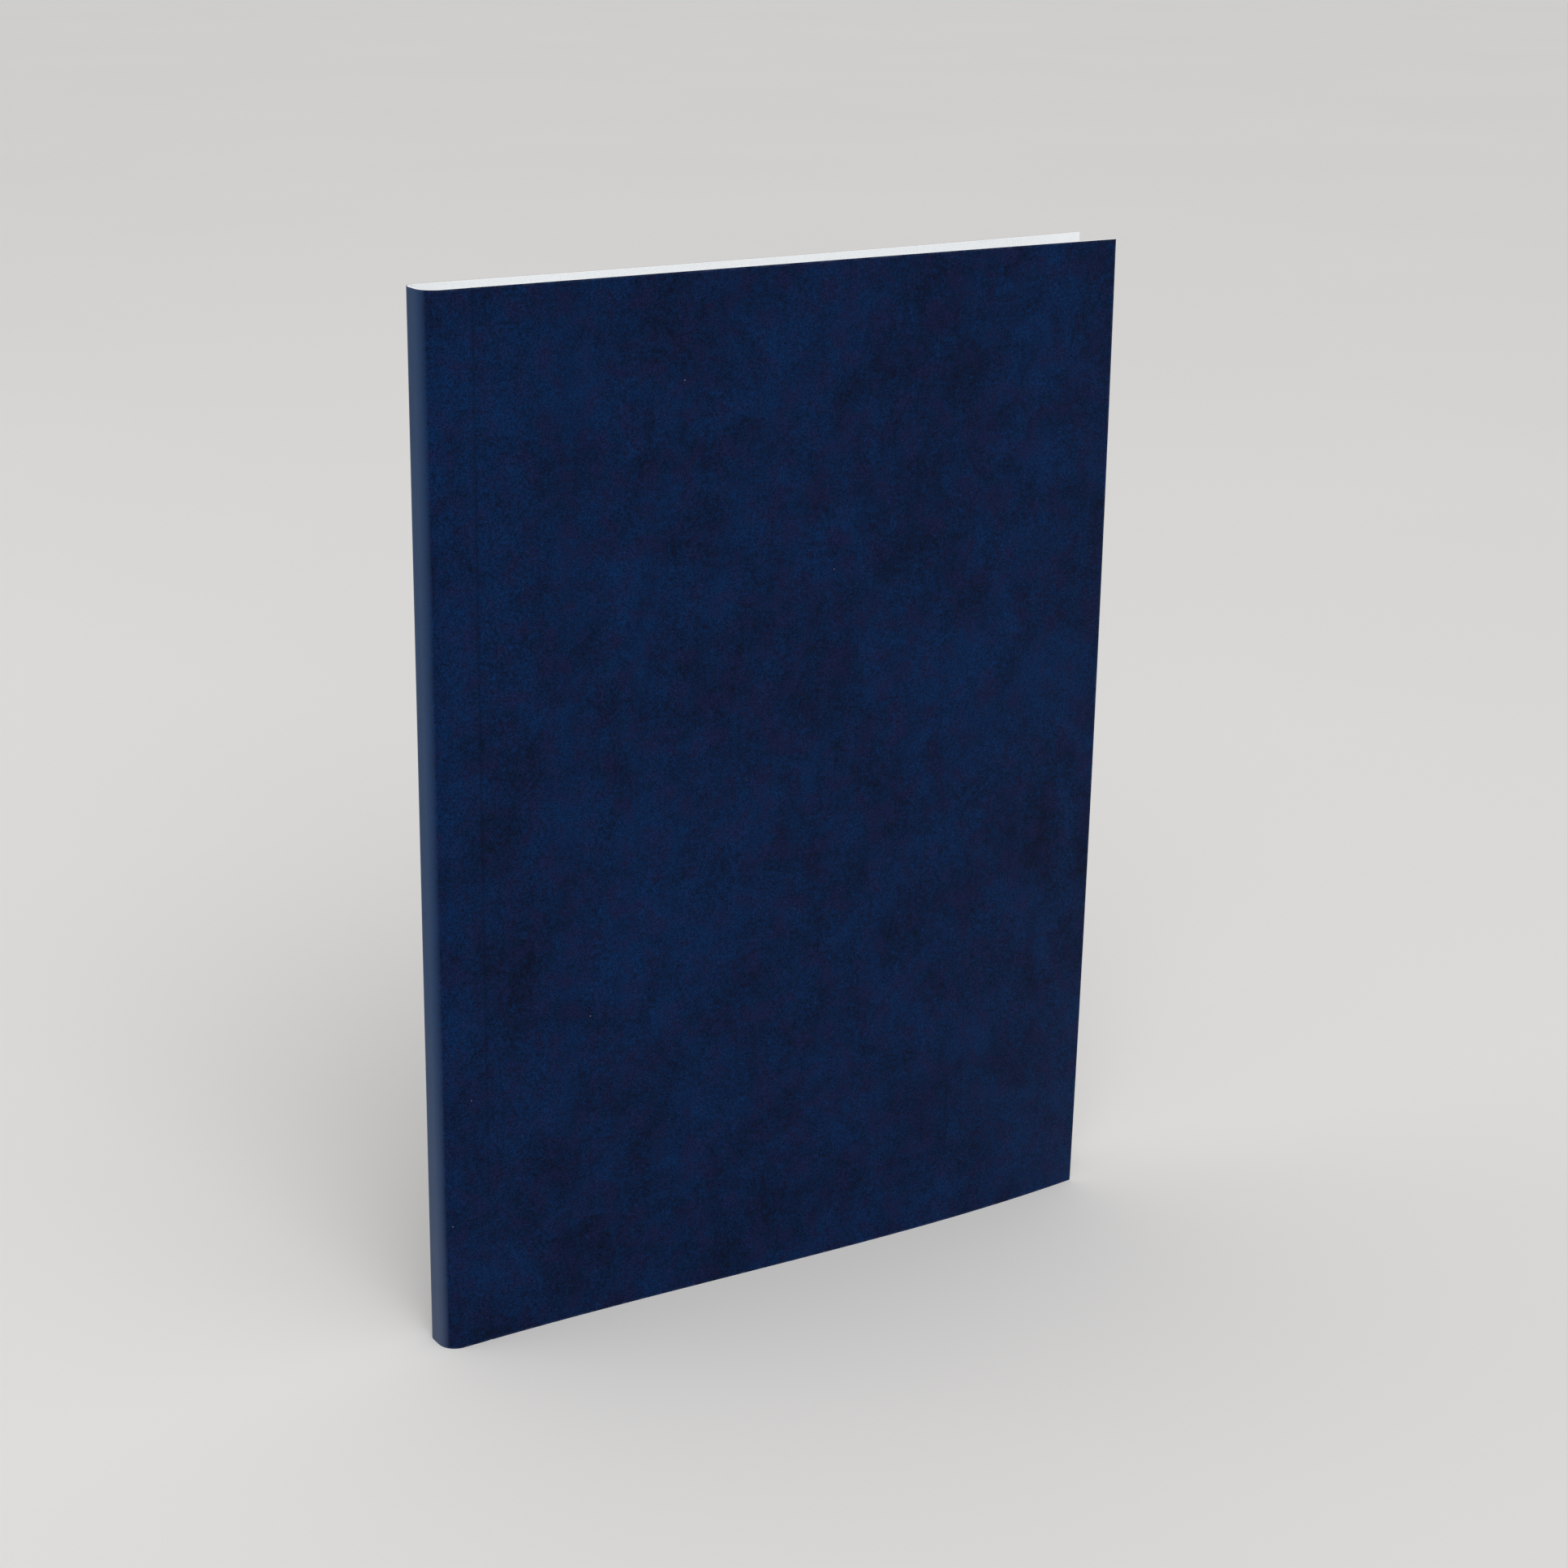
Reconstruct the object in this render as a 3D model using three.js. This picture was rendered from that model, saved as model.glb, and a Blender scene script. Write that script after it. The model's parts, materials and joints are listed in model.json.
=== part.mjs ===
// A slim limp-bound pilot logbook: eight sewn sections of ruled leaves and two
// endpapers in a wrap-round cover of white card with a blue leather-look skin.
// It stands on its tail edges, slightly open, as a book put down to be looked at.
//
// Millimetres. X runs from the spine to the fore-edge, Y from the front cover to
// the back cover, Z up from the tail to the head. The origin is the middle of
// the footprint.

import * as THREE from "three";

// ---- Driving dimensions -------------------------------------------------------

const COVER_HEIGHT = 216;
const COVER_WIDTH = 159;           // outer face of the spine to the fore-edge
const SPINE_THICKNESS = 9.2;
const FRONT_CORNER = 3.8;          // outer radius where the spine turns to the front
const BACK_CORNER = 3.0;           // outer radius where the spine turns to the back
const SCORE = 10;                  // spine to the scored hinge line of each cover
const SPLAY = THREE.MathUtils.degToRad(0.7);  // each cover stands open by this much

const SKIN = 0.25;                 // leather-look covering
const CARD = 0.4;                  // white cover card
const GLUE = 0.15;                 // hot-melt on the spine and under the hinge strips
const MULL = 0.15;                 // gauze that reinforces the back
const THREAD = 0.25;               // link stitches across the back
const AIR = 0.05;                  // clearance between bonded layers
const CREASE = 0.3;                // width of the scored line between stiff panels

const SQUARE = 4;                  // overhang of the cover past the leaves
const SECTIONS = 8;
const SECTION_PITCH = 0.8;
const SECTION_GAP = 0.12;
const ENDPAPER = 0.18;
const ENDPAPER_GAP = 0.1;
const MULL_WIDTH = 7;              // how far the gauze reaches on to each side
const STITCH_WIDTH = 3.9;          // how far the stitches reach round each corner
const ENDPAPER_START = 4.1;        // endpapers are tipped on clear of the stitches

const STATIONS = 6;                // sewing stations along the back
const STATION_MARGIN = 18;         // outer stations to head and tail of the leaves
const STITCH_HEIGHT = 0.8;

// A leaf turns by this share of its cover's angle, from the flyleaf inwards.
const FLYLEAF_SHARE = 0.5;
const FIRST_SECTION_SHARE = 0.42;
const SHARE_STEP = 0.1;
const OPENING = THREE.MathUtils.degToRad(175);  // a cover's widest turn
const LEAF_CLEARANCE = 0.08;       // between neighbouring leaves at their widest

const ARC_STEPS = 10;

// ---- Derived sizes ------------------------------------------------------------

const HALF = SPINE_THICKNESS / 2;
const BOARD = SKIN + AIR + CARD;
const LEAF_HEIGHT = COVER_HEIGHT - 2 * SQUARE;
const LEAF_END = COVER_WIDTH - SQUARE;
const SECTION = SECTION_PITCH - SECTION_GAP;
const BLOCK = SECTIONS * SECTION_PITCH - SECTION_GAP;
const PANEL = COVER_WIDTH - SCORE;
const FORE_EDGE = SCORE + PANEL * Math.cos(SPLAY) + BOARD * Math.sin(SPLAY);

const CARD_DEPTH = SKIN + AIR;
const GLUE_DEPTH = CARD_DEPTH + CARD + AIR;
const MULL_DEPTH = GLUE_DEPTH + GLUE + AIR;
const THREAD_DEPTH = MULL_DEPTH + MULL + AIR;
const FOLD_DEPTH = THREAD_DEPTH + THREAD + AIR;

// Sections are ranked from each cover inwards, so the middle two rank last. The
// hinge lines creep outwards with rank, so that a leaf clears the next at its widest.
const rankOf = (index) => Math.min(index, SECTIONS - 1 - index);
const shareOf = (rank) => FIRST_SECTION_SHARE - rank * SHARE_STEP;
const creep = (thickness, pitch, turn) =>
  (thickness + LEAF_CLEARANCE - pitch * Math.cos(turn)) / Math.sin(turn);

const sectionHinge = [
  SCORE + creep(ENDPAPER, ENDPAPER + ENDPAPER_GAP, FLYLEAF_SHARE * OPENING),
];
for (let rank = 1; rank < SECTIONS / 2; rank += 1) {
  const turn = shareOf(rank - 1) * OPENING;
  sectionHinge.push(sectionHinge[rank - 1] + creep(SECTION, SECTION_PITCH, turn));
}

// ---- Materials ----------------------------------------------------------------

const finish = (color, roughness) =>
  new THREE.MeshStandardMaterial({ color, roughness, metalness: 0 });

const blueSkin = () => finish(0x14274d, 0.55);
const whiteCard = () => finish(0xeef1f2, 0.8);
const leafPaper = () => finish(0xf3f1ea, 0.85);
const endPaper = () => finish(0xf4f5f4, 0.85);
const hotMelt = () => finish(0xd9cfa8, 0.4);
const gauze = () => finish(0xe4dfd0, 0.95);
const linenThread = () => finish(0xf0ece0, 0.7);

// ---- Shapes -------------------------------------------------------------------

const upright = (outline, height, foot) => {
  const solid = new THREE.ExtrudeGeometry(outline, {
    depth: height,
    bevelEnabled: false,
    curveSegments: ARC_STEPS,
  });
  solid.translate(0, 0, foot);
  return solid;
};

// The section of the wrapped spine at one depth below its outer face: in along
// the front, round both corners, and out along the back.
const wrapLine = (path, depth, reach) => {
  const face = HALF - depth;
  path.moveTo(reach, -face);
  path.lineTo(FRONT_CORNER, -face);
  path.absarc(FRONT_CORNER, FRONT_CORNER - HALF, FRONT_CORNER - depth,
    1.5 * Math.PI, Math.PI, true);
  path.lineTo(depth, HALF - BACK_CORNER);
  path.absarc(BACK_CORNER, HALF - BACK_CORNER, BACK_CORNER - depth,
    Math.PI, 0.5 * Math.PI, true);
  path.lineTo(reach, face);
  return path;
};

// A layer of even thickness wrapped round the spine.
const wrap = (depth, thickness, reach, height, foot) => {
  const outside = wrapLine(new THREE.Path(), depth, reach).getPoints(ARC_STEPS);
  const inside = wrapLine(new THREE.Path(), depth + thickness, reach).getPoints(ARC_STEPS);
  const outline = new THREE.Shape([...outside, ...inside.reverse()]);
  return upright(outline, height, foot);
};

// Where the hollow of the wrap begins, at one place across the spine.
const hollowStart = (y, depth) => {
  const nearFront = y < FRONT_CORNER - HALF;
  const nearBack = y > HALF - BACK_CORNER;
  if (!nearFront && !nearBack) return depth;
  const radius = nearFront ? FRONT_CORNER : BACK_CORNER;
  const centre = nearFront ? FRONT_CORNER - HALF : HALF - BACK_CORNER;
  return radius - Math.sqrt((radius - depth) ** 2 - (y - centre) ** 2);
};

// The bound margin of a section or endpaper, from its fold to its hinge line.
const fold = (front, thickness, start, hingeX) => {
  const back = front + thickness;
  const end = hingeX - CREASE / 2;
  const round = thickness / 2;
  const outline = new THREE.Shape();
  outline.moveTo(end, front);
  outline.lineTo(end, back);
  outline.lineTo(start + round, back);
  outline.absarc(start + round, front + round, round, 0.5 * Math.PI, 1.5 * Math.PI, false);
  outline.lineTo(end, front);
  return upright(outline, LEAF_HEIGHT, SQUARE);
};

// A flat panel that starts at the score, drawn from its own hinge line.
const panel = (from, to, reach, height, foot) => {
  const outline = new THREE.Shape();
  outline.moveTo(CREASE / 2, from);
  outline.lineTo(reach, from);
  outline.lineTo(reach, to);
  outline.lineTo(CREASE / 2, to);
  outline.closePath();
  return upright(outline, height, foot);
};

const piece = (name, geometry, material) => {
  const mesh = new THREE.Mesh(geometry, material);
  mesh.name = name;
  return mesh;
};

// ---- Spine: wrap, lining, sewing and bound margins ------------------------------

const logbook = new THREE.Group();
logbook.position.x = -FORE_EDGE / 2;

const stripEnd = SCORE - CREASE / 2;
logbook.add(
  piece("spine_skin", wrap(0, SKIN, stripEnd, COVER_HEIGHT, 0), blueSkin()),
  piece("spine_card", wrap(CARD_DEPTH, CARD, stripEnd, COVER_HEIGHT, 0), whiteCard()),
  piece("spine_glue", wrap(GLUE_DEPTH, GLUE, stripEnd, LEAF_HEIGHT, SQUARE), hotMelt()),
  piece("spine_mull", wrap(MULL_DEPTH, MULL, MULL_WIDTH, LEAF_HEIGHT, SQUARE), gauze()),
);

const stationStep = (LEAF_HEIGHT - 2 * STATION_MARGIN) / (STATIONS - 1);
for (let i = 0; i < STATIONS; i += 1) {
  const foot = SQUARE + STATION_MARGIN + i * stationStep - STITCH_HEIGHT / 2;
  const stitches = wrap(THREAD_DEPTH, THREAD, STITCH_WIDTH, STITCH_HEIGHT, foot);
  logbook.add(piece(`sewing_thread_${i + 1}`, stitches, linenThread()));
}

const sectionFront = (index) => index * SECTION_PITCH - BLOCK / 2;
const endpaperFront = -BLOCK / 2 - ENDPAPER_GAP - ENDPAPER;
const endpaperBack = BLOCK / 2 + ENDPAPER_GAP;

for (let i = 0; i < SECTIONS; i += 1) {
  const front = sectionFront(i);
  const start = Math.max(
    hollowStart(front, FOLD_DEPTH),
    hollowStart(front + SECTION, FOLD_DEPTH),
  );
  const margin = fold(front, SECTION, start, sectionHinge[rankOf(i)]);
  logbook.add(piece(`section_${i + 1}_fold`, margin, leafPaper()));
}
for (const [side, front] of [["front", endpaperFront], ["back", endpaperBack]]) {
  const margin = fold(front, ENDPAPER, ENDPAPER_START, SCORE);
  logbook.add(piece(`${side}_endpaper_margin`, margin, endPaper()));
}

// ---- Covers and leaves, each on its own hinge line at the score ------------------

// side is -1 for what opens to the front and +1 for what opens to the back. The
// hinge line lies on the face that leads the turn, and the layers lie behind it.
const turning = (side, hingeX, faceY, share, layers) => {
  const hinge = new THREE.Group();
  hinge.position.set(hingeX, faceY, 0);
  hinge.rotation.z = side * share * SPLAY;
  layers.forEach(({ name, depth, thickness, reach, height, foot, material }) => {
    const near = -side * depth;
    const far = -side * (depth + thickness);
    const solid = panel(Math.min(near, far), Math.max(near, far), reach, height, foot);
    hinge.add(piece(name, solid, material));
  });
  logbook.add(hinge);
};

const coverLayers = (side) => [
  { name: `${side}_cover_skin`, depth: 0, thickness: SKIN, reach: PANEL,
    height: COVER_HEIGHT, foot: 0, material: blueSkin() },
  { name: `${side}_cover_card`, depth: CARD_DEPTH, thickness: CARD, reach: PANEL,
    height: COVER_HEIGHT, foot: 0, material: whiteCard() },
];

const leafLayer = (name, hingeX, thickness, material) => [
  { name, depth: 0, thickness, reach: LEAF_END - hingeX,
    height: LEAF_HEIGHT, foot: SQUARE, material },
];

for (const [side, direction] of [["front", -1], ["back", 1]]) {
  const flyleafFace = direction * (BLOCK / 2 + ENDPAPER_GAP + ENDPAPER);
  const flyleaf = leafLayer(`${side}_flyleaf`, SCORE, ENDPAPER, endPaper());
  turning(direction, SCORE, direction * HALF, 1, coverLayers(side));
  turning(direction, SCORE, flyleafFace, FLYLEAF_SHARE, flyleaf);
}

for (let i = 0; i < SECTIONS; i += 1) {
  const rank = rankOf(i);
  const direction = i < SECTIONS / 2 ? -1 : 1;
  const faceY = direction * (BLOCK / 2 - rank * SECTION_PITCH);
  const leaves = leafLayer(`section_${i + 1}_leaves`, sectionHinge[rank], SECTION, leafPaper());
  turning(direction, sectionHinge[rank], faceY, shareOf(rank), leaves);
}

export default logbook;
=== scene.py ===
import json
import math
import random

import bpy
from mathutils import Matrix, Vector


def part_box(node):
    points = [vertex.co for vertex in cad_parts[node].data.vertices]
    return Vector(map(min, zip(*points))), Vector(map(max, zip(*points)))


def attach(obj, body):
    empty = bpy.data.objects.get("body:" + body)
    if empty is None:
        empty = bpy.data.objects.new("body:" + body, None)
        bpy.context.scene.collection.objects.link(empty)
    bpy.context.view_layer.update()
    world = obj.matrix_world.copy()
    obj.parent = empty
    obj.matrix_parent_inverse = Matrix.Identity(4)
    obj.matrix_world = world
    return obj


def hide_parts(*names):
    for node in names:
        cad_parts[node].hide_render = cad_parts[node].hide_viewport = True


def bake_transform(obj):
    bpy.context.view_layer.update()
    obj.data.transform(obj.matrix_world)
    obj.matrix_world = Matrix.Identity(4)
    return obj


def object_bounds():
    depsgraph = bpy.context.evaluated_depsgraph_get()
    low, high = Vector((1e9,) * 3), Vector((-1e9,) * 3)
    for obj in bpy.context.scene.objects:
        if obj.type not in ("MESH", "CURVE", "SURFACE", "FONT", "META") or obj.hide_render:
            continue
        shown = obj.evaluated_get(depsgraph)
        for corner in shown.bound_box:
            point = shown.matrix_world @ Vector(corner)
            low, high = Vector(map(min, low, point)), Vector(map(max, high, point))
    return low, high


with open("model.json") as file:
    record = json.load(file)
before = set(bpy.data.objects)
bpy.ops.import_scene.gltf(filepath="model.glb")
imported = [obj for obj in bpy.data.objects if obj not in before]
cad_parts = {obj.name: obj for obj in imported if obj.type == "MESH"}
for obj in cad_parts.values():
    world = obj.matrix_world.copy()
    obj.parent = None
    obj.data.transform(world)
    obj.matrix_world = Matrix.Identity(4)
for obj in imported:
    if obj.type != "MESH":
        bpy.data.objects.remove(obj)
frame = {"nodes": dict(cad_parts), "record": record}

cad_low, cad_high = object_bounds()
random.seed(11)

# ---- The book's sizes, in metres ------------------------------------------------

MM = 0.001
skin_low, skin_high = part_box("spine_skin")
leaf_low, leaf_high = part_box("section_1_leaves")
joints = {joint["name"]: joint for joint in frame["record"]["behaviour"]["joints"]}

SPINE_X = skin_low[0]
FORE_EDGE_X = cad_high[0]
HALF = skin_high[1]
HEIGHT = skin_high[2]
SCORE_X = joints["front_cover_hinge"]["pos_m"][0]
LEAF_TAIL = leaf_low[2]
LEAF_HEAD = leaf_high[2]
LEAF_END_X = FORE_EDGE_X - LEAF_TAIL

FRONT_CORNER = 3.8 * MM         # outer radii of the two spine corners
BACK_CORNER = 3.0 * MM
SKIN = 0.12 * MM
CARD = 0.55 * MM
CARD_DEPTH = SKIN + 0.02 * MM   # the card lies just clear of the skin
SEAM = 1.0 * MM                 # the cover sheets begin this far short of the score
CREASE = 1.5 * MM               # how much of the cover bends when it opens
SCORE_DEPTH = 0.13 * MM
SCORE_WIDTH = 0.32 * MM

SECTIONS = 8
SHEETS = 4                      # folded sheets in a section, two leaves each
SECTION_PITCH = 0.8 * MM
BLOCK_HALF = 3.14 * MM
SECTION_THICKNESS = 0.68 * MM
SHEET_ROOM = 0.48 * MM          # the sheets take less, so that closed sections stay apart
TRIM_SPREAD = 0.12              # millimetres by which the sheets of a section end unalike
LEAF = 0.05 * MM
ENDPAPER = 0.13 * MM
ENDPAPER_FACE = 3.28 * MM
ENDPAPER_START = 4.1 * MM
LEAF_BEND = 11 * MM             # length over which a turned leaf curves

# How far each cover bows outwards, in millimetres, as the coefficients of u, u^2
# and u^3 along its head and its tail, with u from the score to the fore-edge.
HEAD_BOW = {-1: (2.1, -3.2, 3.1), 1: (-4.4, 6.1, 0.0)}
TAIL_BOW = {-1: (-0.6, 21.4, -18.8), 1: (-1.6, 5.2, -1.6)}
FORE_EDGE_BOW = 0.8             # extra bow of the fore-edge at half height

# How finely the sheets are divided: steps where they bend, then columns to the edge.
CORNER_STEPS = 14
FOLD_STEPS = 8
CREASE_STEP = 0.12 * MM
ENDPAPER_STEPS = (2 * MM, 0.7 * MM)     # in the bound margin, and where it bends
LEAF_STEPS = (1.6 * MM, 0.8 * MM)
COVER_COLUMNS, ENDPAPER_COLUMNS, LEAF_COLUMNS = 44, 22, 18
SPINE_ROWS, COVER_ROWS, ENDPAPER_ROWS, LEAF_ROWS = 24, 40, 20, 14
WIDENING = 1.5                  # how fast the columns widen towards the edge
SMOOTH_ANGLE = math.radians(35)


# ---- Sheets ---------------------------------------------------------------------

def bow(side, x, z):
    """How far a cover stands out from the plane of its hinge strip."""
    u = max(0.0, (x - SCORE_X) / (FORE_EDGE_X - SCORE_X))
    v = z / HEIGHT
    head = sum(c * u ** (n + 1) for n, c in enumerate(HEAD_BOW[side]))
    tail = sum(c * u ** (n + 1) for n, c in enumerate(TAIL_BOW[side]))
    return MM * (tail + (head - tail) * v + FORE_EDGE_BOW * 4 * v * (1 - v) * u * u)


def leaf_drift(y, x, z):
    """The leaves share the room between the covers, so each leans as they do."""
    share = (y + ENDPAPER_FACE) / (2 * ENDPAPER_FACE)
    lean = {side: min(bow(side, x, z), 0.5 * bow(side, x, z)) for side in (-1, 1)}
    return share * lean[1] - (1 - share) * lean[-1]


def spread(start, fine_end, step, end, count):
    """Places along a sheet: evenly fine up to fine_end, then wider apart."""
    fine = max(1, round((fine_end - start) / step))
    near = [start + (fine_end - start) * n / fine for n in range(fine)]
    far = [fine_end + (end - fine_end) * (n / count) ** WIDENING for n in range(count + 1)]
    return near + far


def lay_sheet(name, stations, rows, place, thickness, outward):
    """A thin sheet whose columns stand at the stations; outward is a point that its
    outer face looks towards from its middle."""
    bpy.ops.object.select_all(action="DESELECT")
    columns = len(stations) - 1
    bpy.ops.mesh.primitive_grid_add(x_subdivisions=columns, y_subdivisions=rows, size=1)
    sheet = bpy.context.object
    sheet.name = name
    for vertex in sheet.data.vertices:
        column = round((vertex.co.x + 0.5) * columns)
        vertex.co = place(stations[column], vertex.co.y + 0.5)
    seen_from = Vector(outward)
    nearest = min(sheet.data.polygons, key=lambda face: (face.center - seen_from).length)
    if nearest.normal.dot(seen_from - nearest.center) < 0:
        bpy.ops.object.mode_set(mode="EDIT")
        bpy.ops.mesh.select_all(action="SELECT")
        bpy.ops.mesh.flip_normals()
        bpy.ops.object.mode_set(mode="OBJECT")
    solid = sheet.modifiers.new("thickness", "SOLIDIFY")
    solid.thickness = thickness
    solid.offset = -1
    bpy.ops.object.modifier_apply(modifier=solid.name)
    return sheet


def finish_piece(piece, material):
    """Smooths a piece, remembers where each point lies at rest, and paints it."""
    bpy.ops.object.select_all(action="DESELECT")
    piece.select_set(True)
    bpy.context.view_layer.objects.active = piece
    bpy.ops.object.shade_smooth_by_angle(angle=SMOOTH_ANGLE)
    places = piece.data.attributes.new("rest_place", "FLOAT_VECTOR", "POINT")
    for vertex in piece.data.vertices:
        places.data[vertex.index].vector = vertex.co
    piece.data.materials.clear()
    piece.data.materials.append(material)


def wrap_line(depth):
    """The outline of the wrap at one depth, from front strip to back strip."""
    face = HALF - depth
    points = [Vector((SCORE_X - SEAM, -face)), Vector((SPINE_X + 2 * FRONT_CORNER, -face))]
    corners = (
        (FRONT_CORNER, FRONT_CORNER - HALF, 1.5 * math.pi),
        (BACK_CORNER, HALF - BACK_CORNER, math.pi),
    )
    for radius, centre_y, start in corners:
        centre = Vector((SPINE_X + radius, centre_y))
        for n in range(CORNER_STEPS + 1):
            turn = start - 0.5 * math.pi * n / CORNER_STEPS
            away = Vector((math.cos(turn), math.sin(turn)))
            points.append(centre + (radius - depth) * away)
    points.append(Vector((SPINE_X + 2 * BACK_CORNER, face)))
    points.append(Vector((SCORE_X - SEAM, face)))
    return points


def spine_wrap(name, depth, thickness):
    def place(point, row):
        return Vector((point.x, point.y, row * HEIGHT))

    outward = (SPINE_X - 1, 0, HEIGHT / 2)
    return lay_sheet(name, wrap_line(depth), SPINE_ROWS, place, thickness, outward)


def cover_sheet(name, side, depth, thickness):
    def place(x, row):
        z = row * HEIGHT
        score = SCORE_DEPTH * math.exp(-((x - SCORE_X) / SCORE_WIDTH) ** 2)
        return Vector((x, side * (HALF - depth + bow(side, x, z) - score), z))

    stations = spread(
        SCORE_X - SEAM, SCORE_X + CREASE, CREASE_STEP, FORE_EDGE_X, COVER_COLUMNS)
    return lay_sheet(name, stations, COVER_ROWS, place, thickness, (0, side, HEIGHT / 2))


def endpaper_sheet(name, side, hinge_x):
    def place(x, row):
        z = LEAF_TAIL + row * (LEAF_HEAD - LEAF_TAIL)
        y = side * ENDPAPER_FACE
        return Vector((x, y + leaf_drift(y, x, z), z))

    margin_step, bend_step = ENDPAPER_STEPS
    start = SPINE_X + ENDPAPER_START
    stations = spread(start, hinge_x, margin_step, hinge_x, 1)[:-1]
    stations += spread(
        hinge_x, hinge_x + LEAF_BEND, bend_step, LEAF_END_X, ENDPAPER_COLUMNS)
    return lay_sheet(name, stations, ENDPAPER_ROWS, place, ENDPAPER, (0, side, HEIGHT / 2))


def folded_sheet(name, middle_y, reach, start_x, hinge_x, end_x):
    """One sheet folded in two round the sheets inside it, reach from its middle."""
    margin_step, bend_step = LEAF_STEPS
    away = spread(start_x + reach, hinge_x, margin_step, hinge_x, 1)[1:-1]
    away += spread(hinge_x, hinge_x + LEAF_BEND, bend_step, end_x, LEAF_COLUMNS)
    turns = [math.pi * (n / FOLD_STEPS - 0.5) for n in range(FOLD_STEPS + 1)]
    bend = [
        (start_x + reach - reach * math.cos(turn), middle_y + reach * math.sin(turn))
        for turn in turns
    ]
    stations = [(x, middle_y - reach) for x in reversed(away)]
    stations += bend
    stations += [(x, middle_y + reach) for x in away]

    def place(station, row):
        x, y = station
        z = LEAF_TAIL + row * (LEAF_HEAD - LEAF_TAIL)
        return Vector((x, y + leaf_drift(y, x, z), z))

    outward = (SPINE_X - 1, middle_y, HEIGHT / 2)
    return lay_sheet(name, stations, LEAF_ROWS, place, LEAF, outward)


def section(index, start_x, hinge_x):
    """Four folded sheets inside one another, trimmed together but not quite alike."""
    middle_y = index * SECTION_PITCH - BLOCK_HALF + SECTION_THICKNESS / 2
    step = SHEET_ROOM / (2 * SHEETS)
    sheets = []
    for n in range(SHEETS):
        reach = step * (SHEETS - n) - step / 4
        start = start_x + n * step
        end = LEAF_END_X - random.uniform(0, TRIM_SPREAD) * MM
        name = f"section_{index + 1}"
        sheets.append(folded_sheet(name, middle_y, reach, start, hinge_x, end))
    bpy.ops.object.select_all(action="DESELECT")
    for sheet in sheets:
        sheet.select_set(True)
    bpy.context.view_layer.objects.active = sheets[0]
    bpy.ops.object.join()
    return sheets[0]


# ---- Material helpers -------------------------------------------------------------

def new_material(name):
    material = bpy.data.materials.new(name)
    material.use_nodes = True
    nodes = material.node_tree.nodes
    return material, nodes, material.node_tree.links, nodes["Principled BSDF"]


def rest_place(nodes):
    attribute = nodes.new("ShaderNodeAttribute")
    attribute.attribute_name = "rest_place"
    return attribute.outputs["Vector"]


def object_place(nodes):
    return nodes.new("ShaderNodeTexCoord").outputs["Object"]


def noise(nodes, links, place, scale, detail, roughness, distortion=0.0):
    node = nodes.new("ShaderNodeTexNoise")
    node.inputs["Scale"].default_value = scale
    node.inputs["Detail"].default_value = detail
    node.inputs["Roughness"].default_value = roughness
    node.inputs["Distortion"].default_value = distortion
    links.new(place, node.inputs["Vector"])
    return node.outputs["Fac"]


def stretched(nodes, links, place, scale):
    node = nodes.new("ShaderNodeMapping")
    node.inputs["Scale"].default_value = scale
    links.new(place, node.inputs["Vector"])
    return node.outputs["Vector"]


def ramp(nodes, links, value, stops):
    node = nodes.new("ShaderNodeValToRGB")
    elements = node.color_ramp.elements
    while len(elements) < len(stops):
        elements.new(0.5)
    for element, (position, colour) in zip(elements, stops):
        element.position = position
        element.color = (*colour, 1)
    links.new(value, node.inputs["Fac"])
    return node.outputs["Color"]


def math_node(nodes, links, operation, first, second=0.0):
    node = nodes.new("ShaderNodeMath")
    node.operation = operation
    for socket, value in zip(node.inputs, (first, second)):
        if isinstance(value, (int, float)):
            socket.default_value = value
        else:
            links.new(value, socket)
    return node.outputs["Value"]


def remap(nodes, links, value, low, high, to_low, to_high):
    node = nodes.new("ShaderNodeMapRange")
    for socket, number in zip(("From Min", "From Max", "To Min", "To Max"),
                              (low, high, to_low, to_high)):
        node.inputs[socket].default_value = number
    links.new(value, node.inputs["Value"])
    return node.outputs["Result"]


def mix(nodes, links, factor, first, second, blend="MIX"):
    node = nodes.new("ShaderNodeMix")
    node.data_type = "RGBA"
    node.blend_type = blend
    for socket, value in ((node.inputs[0], factor), (node.inputs[6], first),
                          (node.inputs[7], second)):
        if isinstance(value, (int, float)):
            socket.default_value = value
        elif isinstance(value, tuple):
            socket.default_value = (*value, 1)
        else:
            links.new(value, socket)
    return node.outputs[2]


def bump(nodes, links, height, strength, distance, shader):
    node = nodes.new("ShaderNodeBump")
    node.inputs["Strength"].default_value = strength
    node.inputs["Distance"].default_value = distance
    links.new(height, node.inputs["Height"])
    links.new(node.outputs["Normal"], shader.inputs["Normal"])


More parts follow.
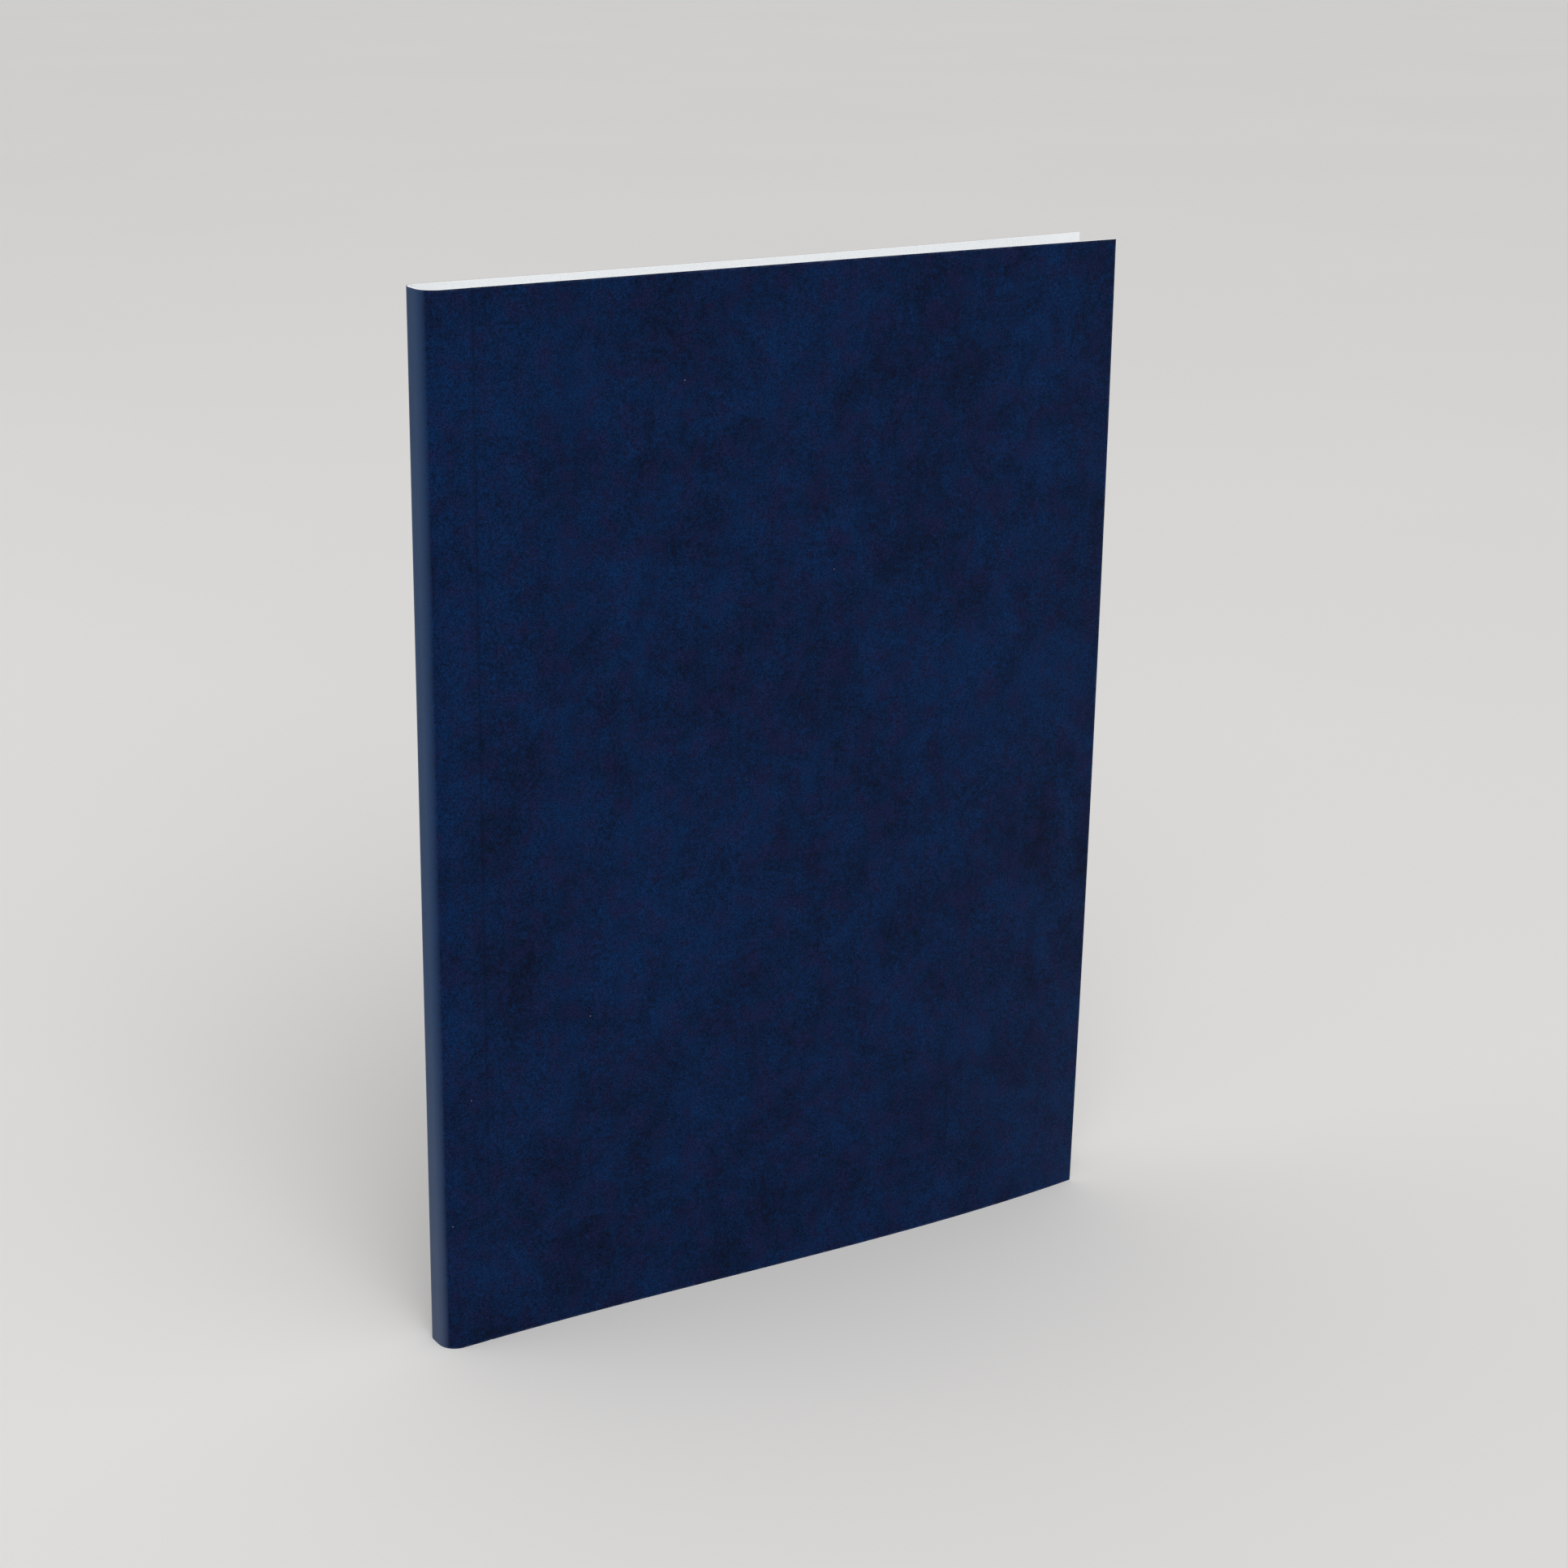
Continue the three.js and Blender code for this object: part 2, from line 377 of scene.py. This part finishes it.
def paper_fibre_group():
    """Cloudy formation and fine fibres of paper: a tone near 1 and a height."""
    group = bpy.data.node_groups.new("paper_fibre", "ShaderNodeTree")
    group.interface.new_socket("Place", in_out="INPUT", socket_type="NodeSocketVector")
    depth = group.interface.new_socket("Depth", in_out="INPUT", socket_type="NodeSocketFloat")
    depth.default_value = 0.05
    group.interface.new_socket("Tone", in_out="OUTPUT", socket_type="NodeSocketFloat")
    group.interface.new_socket("Height", in_out="OUTPUT", socket_type="NodeSocketFloat")
    nodes, links = group.nodes, group.links
    given = nodes.new("NodeGroupInput")
    result = nodes.new("NodeGroupOutput")
    cloud = noise(nodes, links, given.outputs["Place"], 160, 4, 0.6)
    long_fibre = stretched(nodes, links, given.outputs["Place"], (1, 1, 0.35))
    fibre = noise(nodes, links, long_fibre, 2600, 3, 0.7, 0.4)
    both = math_node(nodes, links, "ADD", cloud, fibre)
    below = math_node(nodes, links, "SUBTRACT", both, 1.0)
    swing = math_node(nodes, links, "MULTIPLY", below, given.outputs["Depth"])
    tone = math_node(nodes, links, "ADD", swing, 1.0)
    links.new(tone, result.inputs["Tone"])
    links.new(fibre, result.inputs["Height"])
    return group


PAPER_FIBRE = paper_fibre_group()


def fibre(nodes, links, place, depth):
    node = nodes.new("ShaderNodeGroup")
    node.node_tree = PAPER_FIBRE
    node.inputs["Depth"].default_value = depth
    links.new(place, node.inputs["Place"])
    return node.outputs["Tone"], node.outputs["Height"]


def separated(nodes, links, place):
    node = nodes.new("ShaderNodeSeparateXYZ")
    links.new(place, node.inputs["Vector"])
    return node.outputs["X"], node.outputs["Y"], node.outputs["Z"]


def near_edge(nodes, links, axis_value, edge, width):
    """1 at an edge, falling to 0 at width from it."""
    gap = math_node(nodes, links, "SUBTRACT", axis_value, edge)
    away = math_node(nodes, links, "ABSOLUTE", gap)
    return remap(nodes, links, away, 0.0, width, 1.0, 0.0)


# ---- Materials ----------------------------------------------------------------------

# Layers of the skin's mottling: scale, detail, roughness and distortion of the noise.
BLOTCH = (78, 9, 0.72, 0.5)
DRIFT = (21, 3, 0.5, 0.2)
STREAK = (420, 4, 0.65, 0.3)
FEATHER = (1250, 5, 0.75, 0.3)
STREAK_STRETCH = (1, 1, 0.3)
DRIFT_SHARE, BLOTCH_SHARE, STREAK_SHARE, FEATHER_SHARE = 0.4, 0.8, 0.18, 0.85
MOTTLE_LOW, MOTTLE_HIGH = 0.94, 1.25
HUE_PATCH = (230, 3, 0.6)
GRAIN = (3100, 3, 0.75)
RUB_PATCH = (520, 4, 0.7)
WAVE = (95, 3, 0.5)

NAVY_STOPS = [
    (0.0, (0.0022, 0.0044, 0.0190)),
    (0.35, (0.0020, 0.0078, 0.0340)),
    (0.62, (0.0017, 0.0108, 0.0460)),
    (1.0, (0.0019, 0.0152, 0.0640)),
]
VIOLET = (0.0078, 0.0080, 0.0400)
RUBBED = (0.060, 0.085, 0.150)
# Painted shade for the score's crease.
SCORE_CREASE_SHADE = (0.0010, 0.0035, 0.0150)
DUST = (0.35, 0.36, 0.38)
# Painted sheen on the spine's flat, and a paler painted reflection of the floor towards its
# tail.
SPINE_SHEEN = (0.026, 0.056, 0.128)
SPINE_TAIL_REFLECTION = (0.070, 0.095, 0.160)

RUB_WIDTH = 0.5 * MM
SCORE_SHADE_WIDTH = 0.6 * MM
SHEEN_FRONT = 1.1 * MM           # how far the spine's painted sheen reaches, front and back of its middle, measured along X from its flat
SHEEN_BACK = 3.5 * MM            # its middle, measured along X from its flat
DUST_SCALE = 95
PEBBLE_SCALE = 1500


def mottled_navy(nodes, links, place):
    """Navy leather colour, with the mottle and the grain it is made from."""
    blotch = noise(nodes, links, place, *BLOTCH)
    drift = noise(nodes, links, place, *DRIFT)
    streak = noise(nodes, links, stretched(nodes, links, place, STREAK_STRETCH), *STREAK)
    feather = noise(nodes, links, place, *FEATHER)
    mottle = math_node(nodes, links, "MULTIPLY", drift, DRIFT_SHARE)
    layers = ((blotch, BLOTCH_SHARE), (streak, STREAK_SHARE), (feather, FEATHER_SHARE))
    for layer, share in layers:
        part = math_node(nodes, links, "MULTIPLY", layer, share)
        mottle = math_node(nodes, links, "ADD", mottle, part)
    mottle = remap(nodes, links, mottle, MOTTLE_LOW, MOTTLE_HIGH, 0.0, 1.0)
    navy = ramp(nodes, links, mottle, NAVY_STOPS)
    hue = noise(nodes, links, place, *HUE_PATCH)
    violet = remap(nodes, links, hue, 0.46, 0.66, 0.0, 0.6)
    navy = mix(nodes, links, violet, navy, VIOLET)
    grain = noise(nodes, links, place, *GRAIN)
    shade = remap(nodes, links, grain, 0.3, 0.7, 0.2, 1.8)
    shade_colour = nodes.new("ShaderNodeCombineColor")
    for socket in shade_colour.inputs:
        links.new(shade, socket)
    navy = mix(nodes, links, 1.0, navy, shade_colour.outputs["Color"], "MULTIPLY")
    return navy, mottle, grain


def with_wear_shade_and_sheen(nodes, links, place, navy):
    """The skin's colour with rubbed edges, painted shade in the score, dust and a painted sheen
    on the spine.
    """
    x, y, z = separated(nodes, links, place)
    rub = near_edge(nodes, links, z, 0.0, RUB_WIDTH)
    for value, edge in ((z, HEIGHT), (x, FORE_EDGE_X)):
        other = near_edge(nodes, links, value, edge, RUB_WIDTH)
        rub = math_node(nodes, links, "MAXIMUM", rub, other)
    patchy = noise(nodes, links, place, *RUB_PATCH)
    patchy = remap(nodes, links, patchy, 0.42, 0.7, 0.0, 0.6)
    rub = math_node(nodes, links, "MULTIPLY", rub, patchy)
    navy = mix(nodes, links, rub, navy, RUBBED)

    # Painted shade along the score's crease, fainter towards the tail.
    score = near_edge(nodes, links, x, SCORE_X, SCORE_SHADE_WIDTH)
    score_shade_strength = remap(nodes, links, z, 0.0, 0.4 * HEIGHT, 0.1, 0.38)
    score = math_node(nodes, links, "MULTIPLY", score, score_shade_strength)
    navy = mix(nodes, links, score, navy, SCORE_CREASE_SHADE)

    dust = nodes.new("ShaderNodeTexVoronoi")
    dust.inputs["Scale"].default_value = DUST_SCALE
    links.new(place, dust.inputs["Vector"])
    speck = remap(nodes, links, dust.outputs["Distance"], 0.007, 0.014, 0.5, 0.0)
    navy = mix(nodes, links, speck, navy, DUST)

    # Painted sheen: the spine's flat is painted paler than the covers, most of all
    # towards its tail, where the paler tone is a painted reflection of the floor.
    spine_sheen = near_edge(nodes, links, x, SPINE_X, SHEEN_FRONT)
    sheen_behind = near_edge(nodes, links, x, SPINE_X, SHEEN_BACK)
    past_middle = math_node(nodes, links, "GREATER_THAN", y, 0.0)
    sheen_behind = math_node(nodes, links, "MULTIPLY", sheen_behind, past_middle)
    spine_sheen = math_node(nodes, links, "MAXIMUM", spine_sheen, sheen_behind)
    sheen_share = math_node(nodes, links, "MULTIPLY", spine_sheen, 0.9)
    tail_reflection = remap(nodes, links, z, 0.0, 0.35 * HEIGHT, 0.8, 0.0)
    sheen_tone = mix(nodes, links, tail_reflection, SPINE_SHEEN, SPINE_TAIL_REFLECTION)
    return mix(nodes, links, sheen_share, navy, sheen_tone)


def cover_skin_material():
    """Leather-look covering: mottled navy with violet shadows and a fine grain."""
    material, nodes, links, shader = new_material("cover_skin")
    place = rest_place(nodes)
    navy, mottle, grain = mottled_navy(nodes, links, place)
    navy = with_wear_shade_and_sheen(nodes, links, place, navy)
    links.new(navy, shader.inputs["Base Color"])

    pebble = nodes.new("ShaderNodeTexVoronoi")
    pebble.feature = "SMOOTH_F1"
    pebble.inputs["Scale"].default_value = PEBBLE_SCALE
    pebble.inputs["Smoothness"].default_value = 0.6
    links.new(place, pebble.inputs["Vector"])
    wave = noise(nodes, links, place, *WAVE)
    wave = math_node(nodes, links, "MULTIPLY", wave, 2.0)
    height = math_node(nodes, links, "ADD", pebble.outputs["Distance"], wave)
    height = math_node(nodes, links, "ADD", height, grain)
    bump(nodes, links, height, 0.35, 0.05 * MM, shader)
    rough = remap(nodes, links, mottle, 0.0, 1.0, 0.56, 0.46)
    links.new(rough, shader.inputs["Roughness"])
    shader.inputs["Specular IOR Level"].default_value = 0.08
    shader.inputs["Specular Tint"].default_value = (0.50, 0.74, 1.0, 1)
    return material


def cover_card_material():
    """Smooth white cover card, with a painted highlight along its cut head edge."""
    material, nodes, links, shader = new_material("cover_card")
    place = rest_place(nodes)
    tone, height = fibre(nodes, links, place, 0.035)
    white = ramp(nodes, links, tone, [(0.9, (0.84, 0.87, 0.90)), (1.0, (0.90, 0.93, 0.96))])
    _, _, z = separated(nodes, links, place)
    # Painted highlight: the cut head edge is painted whiter, where light from above falls on it.
    lit_cut_edge = math_node(nodes, links, "GREATER_THAN", z, HEIGHT - 0.05 * MM)
    white = mix(nodes, links, lit_cut_edge, white, (0.98, 0.985, 0.99))
    links.new(white, shader.inputs["Base Color"])
    rough = remap(nodes, links, height, 0.3, 0.7, 0.5, 0.62)
    links.new(rough, shader.inputs["Roughness"])
    bump(nodes, links, height, 0.12, 0.02 * MM, shader)
    shader.inputs["Specular IOR Level"].default_value = 0.3
    return material


def paper_material(name, light, dark):
    material, nodes, links, shader = new_material(name)
    place = rest_place(nodes)
    tone, height = fibre(nodes, links, place, 0.05)
    colour = ramp(nodes, links, tone, [(0.93, dark), (1.0, light)])
    rough = remap(nodes, links, height, 0.3, 0.7, 0.72, 0.88)
    links.new(rough, shader.inputs["Roughness"])
    bump(nodes, links, height, 0.2, 0.02 * MM, shader)
    shader.inputs["Specular IOR Level"].default_value = 0.25
    return material, nodes, links, shader, place, colour


def endpaper_material():
    material, _, links, shader, _, colour = paper_material(
        "endpaper", (0.90, 0.91, 0.91), (0.84, 0.85, 0.85))
    links.new(colour, shader.inputs["Base Color"])
    return material


COLUMN_SHARES = (0, 0.13, 0.29, 0.38, 0.52, 0.61, 0.70, 0.79, 1)
HEAD_TINT = (0.60, 0.70, 0.80)
RULE_INK = (0.16, 0.24, 0.38)


def log_leaf_material():
    """Leaves ruled as a log: a tinted head band, rows and unequal columns."""
    material, nodes, links, shader, place, colour = paper_material(
        "log_leaf", (0.90, 0.90, 0.88), (0.83, 0.83, 0.81))
    x, _, z = separated(nodes, links, place)
    left = SPINE_X + 17 * MM
    right = LEAF_END_X - 7 * MM
    foot = LEAF_TAIL + 14 * MM
    head = LEAF_HEAD - 14 * MM
    band = head - 16 * MM
    row = 8 * MM
    line = 0.13 * MM

    def inside(value, low, high):
        above = math_node(nodes, links, "GREATER_THAN", value, low)
        below = math_node(nodes, links, "LESS_THAN", value, high)
        return math_node(nodes, links, "MULTIPLY", above, below)

    frame_mask = math_node(
        nodes, links, "MULTIPLY",
        inside(x, left - line, right + line), inside(z, foot - line, head + line))
    tint = math_node(nodes, links, "MULTIPLY", inside(x, left, right), inside(z, band, head))
    tint = math_node(nodes, links, "MULTIPLY", tint, 0.5)
    colour = mix(nodes, links, tint, colour, HEAD_TINT)

    lifted = math_node(nodes, links, "SUBTRACT", z, foot - row / 2)
    repeat = math_node(nodes, links, "FLOORED_MODULO", lifted, row)
    rules = inside(repeat, row / 2 - line, row / 2 + line)
    rules = math_node(nodes, links, "MULTIPLY", rules, inside(z, foot - row / 4, band + row / 4))
    for share in COLUMN_SHARES:
        column = left + share * (right - left)
        upright = inside(x, column - line, column + line)
        rules = math_node(nodes, links, "MAXIMUM", rules, upright)
    for level in (head, band):
        across = inside(z, level - 1.5 * line, level + 1.5 * line)
        rules = math_node(nodes, links, "MAXIMUM", rules, across)
    rules = math_node(nodes, links, "MULTIPLY", rules, frame_mask)
    rules = math_node(nodes, links, "MULTIPLY", rules, 0.8)
    colour = mix(nodes, links, rules, colour, RULE_INK)
    links.new(colour, shader.inputs["Base Color"])
    return material


def hidden_material(name, light, dark, scale, roughness):
    """A finish for what is bound inside the spine: glue, gauze or thread."""
    material, nodes, links, shader = new_material(name)
    place = object_place(nodes)
    value = noise(nodes, links, place, scale, 4, 0.6)
    colour = ramp(nodes, links, value, [(0.35, dark), (0.65, light)])
    links.new(colour, shader.inputs["Base Color"])
    rough = remap(nodes, links, value, 0.3, 0.7, roughness - 0.08, roughness + 0.08)
    links.new(rough, shader.inputs["Roughness"])
    bump(nodes, links, value, 0.3, 0.05 * MM, shader)
    return material


def floor_material():
    material, nodes, links, shader = new_material("studio_floor")
    place = object_place(nodes)
    value = noise(nodes, links, place, 3, 2, 0.5)
    pale = [(0.3, (0.800, 0.795, 0.787)), (0.7, (0.815, 0.808, 0.798))]
    colour = ramp(nodes, links, value, pale)
    links.new(colour, shader.inputs["Base Color"])
    shader.inputs["Roughness"].default_value = 0.9
    shader.inputs["Specular IOR Level"].default_value = 0.1
    return material


# ---- Covers and spine -----------------------------------------------------------------

cover_skin = cover_skin_material()
cover_card = cover_card_material()
log_leaf = log_leaf_material()
endpaper = endpaper_material()

for layer, depth, thickness, material in (
    ("skin", 0.0, SKIN, cover_skin),
    ("card", CARD_DEPTH, CARD, cover_card),
):
    wrap = spine_wrap(f"spine_{layer}_sheet", depth, thickness)
    finish_piece(wrap, material)
    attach(wrap, "spine")
    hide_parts(f"spine_{layer}")
    for side, word in ((-1, "front"), (1, "back")):
        cover = cover_sheet(f"{word}_cover_{layer}_sheet", side, depth, thickness)
        finish_piece(cover, material)
        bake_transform(cover)
        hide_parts(f"{word}_cover_{layer}")

# ---- Endpapers and sections --------------------------------------------------------------

for side, word in ((-1, "front"), (1, "back")):
    hinge_x = joints[f"{word}_flyleaf_turn"]["pos_m"][0]
    sheet = endpaper_sheet(f"{word}_endpaper", side, hinge_x)
    finish_piece(sheet, endpaper)
    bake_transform(sheet)
    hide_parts(f"{word}_endpaper_margin", f"{word}_flyleaf")

for index in range(SECTIONS):
    number = index + 1
    hinge_x = joints[f"section_{number}_turn"]["pos_m"][0]
    start_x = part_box(f"section_{number}_fold")[0][0]
    leaves = section(index, start_x, hinge_x)
    finish_piece(leaves, log_leaf)
    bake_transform(leaves)
    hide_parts(f"section_{number}_fold", f"section_{number}_leaves")

# ---- What is bound inside the spine ---------------------------------------------------------

hot_melt = hidden_material("hot_melt", (0.72, 0.66, 0.46), (0.62, 0.55, 0.36), 900, 0.35)
gauze = hidden_material("gauze", (0.78, 0.75, 0.66), (0.55, 0.52, 0.44), 2200, 0.9)
thread = hidden_material("sewing_thread", (0.86, 0.83, 0.76), (0.70, 0.66, 0.58), 3000, 0.65)
inner = {"spine_glue": hot_melt, "spine_mull": gauze}
inner.update({f"sewing_thread_{n}": thread for n in range(1, 7)})
for node, material in inner.items():
    frame["nodes"][node].data.materials.clear()
    frame["nodes"][node].data.materials.append(material)

# ---- Floor, light and camera ------------------------------------------------------------------

FLOOR_SIZE = 40
SKY_COLOUR = (1.0, 0.995, 0.985, 1)
SKY_STRENGTH = 0.53

bpy.ops.object.select_all(action="DESELECT")
bpy.ops.mesh.primitive_plane_add(size=FLOOR_SIZE)
floor = bpy.context.object
floor.name = "studio_floor"
floor.data.materials.append(floor_material())

world = bpy.data.worlds.new("studio")
world.use_nodes = True
background = world.node_tree.nodes["Background"]
background.inputs["Color"].default_value = SKY_COLOUR
background.inputs["Strength"].default_value = SKY_STRENGTH
bpy.context.scene.world = world
bpy.context.scene.view_settings.view_transform = "Standard"


def lamp(kind, name, towards, power, distance=1.0):
    """A soft light that shines on the book from the direction given."""
    light = bpy.data.lights.new(name, kind)
    light.energy = power
    holder = bpy.data.objects.new(name, light)
    holder.location = Vector(towards).normalized() * distance
    holder.rotation_mode = "QUATERNION"
    holder.rotation_quaternion = Vector(towards).to_track_quat("Z", "Y")
    bpy.context.collection.objects.link(holder)
    return light


front_light = lamp("SUN", "front_light", (-0.30, -0.75, 0.62), 1.25)
front_light.angle = math.radians(50)
top_light = lamp("AREA", "top_light", (-0.05, -0.55, 1.0), 3.0, 1.6)
top_light.size = 1.2
side_light = lamp("AREA", "side_light", (-1.20, 0.60, 0.60), 2.2, 1.45)
side_light.shape = "RECTANGLE"
side_light.size = 1.0
side_light.size_y = 0.3

CAMERA_AT = Vector((-316.0, -490.7, 299.1)) * MM
CAMERA_YAW = math.radians(-33.05)
CAMERA_PITCH = math.radians(18.16)
CAMERA_ROLL = math.radians(0.89)
CAMERA_LENS = 67.84
SENSOR_WIDTH = 36

forward = Vector((
    -math.sin(CAMERA_YAW) * math.cos(CAMERA_PITCH),
    math.cos(CAMERA_YAW) * math.cos(CAMERA_PITCH),
    -math.sin(CAMERA_PITCH),
))
level = Vector((math.cos(CAMERA_YAW), math.sin(CAMERA_YAW), 0))
right = Matrix.Rotation(-CAMERA_ROLL, 3, forward) @ level
up = right.cross(forward)
camera_data = bpy.data.cameras.new("camera")
camera_data.lens = CAMERA_LENS
camera_data.sensor_width = SENSOR_WIDTH
camera = bpy.data.objects.new("camera", camera_data)
turned = Matrix((right, up, -forward)).transposed().to_4x4()
camera.matrix_world = Matrix.Translation(CAMERA_AT) @ turned
bpy.context.collection.objects.link(camera)
bpy.context.scene.camera = camera
